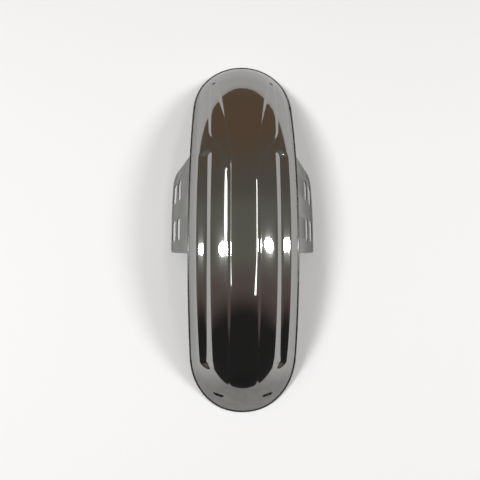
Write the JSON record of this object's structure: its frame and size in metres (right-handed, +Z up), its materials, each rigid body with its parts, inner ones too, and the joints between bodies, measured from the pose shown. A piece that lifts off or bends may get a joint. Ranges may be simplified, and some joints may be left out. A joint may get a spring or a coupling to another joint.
{
  "type": "motorcycle front mudguard",
  "caption": "Chrome motorcycle front mudguard: a domed, grooved arc with a raised centre band, rolled edge and slotted side ears for the fork legs.",
  "frame": {"origin": "middle of the bounding box's underside, on the floor that the guard stands on with its two ends", "axes": "+X forward along the guard, +Y to the left, +Z up through the top of the guard"},
  "size_m": [0.4286, 0.1694, 0.1088],
  "materials": {
    "shell_chrome": "polished chrome plate on pressed steel",
    "ear_chrome": "bright plated steel sheet, less polished"
  },
  "bodies": {
    "root": {"shell": "shell_chrome", "ear_left": "ear_chrome", "ear_right": "ear_chrome"}
  },
  "joints": []
}
